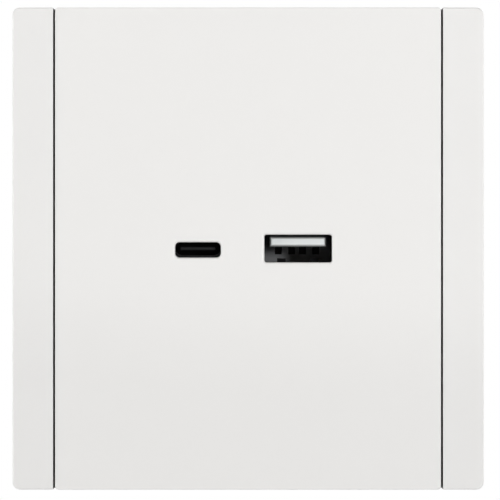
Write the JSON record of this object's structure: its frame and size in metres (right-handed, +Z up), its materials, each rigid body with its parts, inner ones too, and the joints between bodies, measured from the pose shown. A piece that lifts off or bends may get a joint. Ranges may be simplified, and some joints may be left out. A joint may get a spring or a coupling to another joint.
{
  "type": "usb wall socket",
  "caption": "Flush-mounted USB charging wall socket with a cover frame, a centre plate, type A and type C ports, a support ring and a power-supply insert with push-in mains terminals.",
  "frame": {"origin": "middle of the cover frame, on the wall's finished surface", "axes": "+Y into the wall box, -Y towards the room and the ports' mouths, +Z up, +X to the right as seen from the room"},
  "size_m": [0.086, 0.0406, 0.088],
  "materials": {
    "white_cover": "satin",
    "ring_steel": "zinc plated",
    "screw_steel": "bright zinc plated",
    "housing_plastic": "fine matt",
    "board_laminate": "solder mask",
    "shell_steel": "blackened",
    "white_insulator": "moulded",
    "black_insulator": "moulded",
    "contact_metal": "gold flashed",
    "ferrite": "sintered",
    "winding_tape": "wound tape",
    "capacitor_can": "sleeved",
    "film_box": "moulded box",
    "choke_wire": "enamelled wire",
    "fuse_body": "coated",
    "chip_epoxy": "moulded",
    "terminal_plastic": "fine matt",
    "busbar_brass": "stamped",
    "spring_steel": "bright",
    "button_plastic": "moulded"
  },
  "bodies": {
    "socket": {"cover_frame": "white_cover", "centre_plate": "white_cover", "support_ring": "ring_steel", "ring_screws": "screw_steel", "case_screws": "screw_steel", "board_screws": "screw_steel", "front_housing": "housing_plastic", "rear_housing": "housing_plastic", "port_board": "board_laminate", "main_board": "board_laminate", "usb_a_shell": "shell_steel", "usb_a_insulator": "white_insulator", "usb_a_back_wall": "terminal_plastic", "usb_c_shell": "shell_steel", "usb_c_insulator": "black_insulator", "usb_c_contacts": "contact_metal", "transformer_core": "ferrite", "transformer_bobbin": "black_insulator", "transformer_winding": "winding_tape", "primary_capacitor_1": "capacitor_can", "primary_capacitor_2": "capacitor_can", "secondary_capacitor": "capacitor_can", "film_capacitor": "film_box", "mains_choke": "ferrite", "fuse_resistor": "fuse_body", "bridge_rectifier": "chip_epoxy", "controller_chip_1": "chip_epoxy", "controller_chip_2": "chip_epoxy", "link_carrier": "black_insulator", "link_pins": "contact_metal", "terminal_block": "terminal_plastic", "line_busbar": "busbar_brass", "neutral_busbar": "busbar_brass", "usb_a_contact_1": "contact_metal", "clamp_spring_1": "spring_steel", "usb_a_contact_2": "contact_metal", "clamp_spring_2": "spring_steel", "usb_a_contact_3": "contact_metal", "clamp_spring_3": "spring_steel", "usb_a_contact_4": "contact_metal", "clamp_spring_4": "spring_steel"},
    "line_button": {"line_release": "button_plastic"},
    "neutral_button": {"neutral_release": "button_plastic"}
  },
  "joints": [
    {"name": "line_release_slide", "type": "slide", "parent": "socket", "child": "line_button", "axis": [0, -1, 0], "range_m": [0, 0.0016], "stiffness_N_per_m": 400, "springref_m": -0.0005},
    {"name": "neutral_release_slide", "type": "slide", "parent": "socket", "child": "neutral_button", "axis": [0, -1, 0], "range_m": [0, 0.0016], "stiffness_N_per_m": 400, "springref_m": -0.0005}
  ]
}
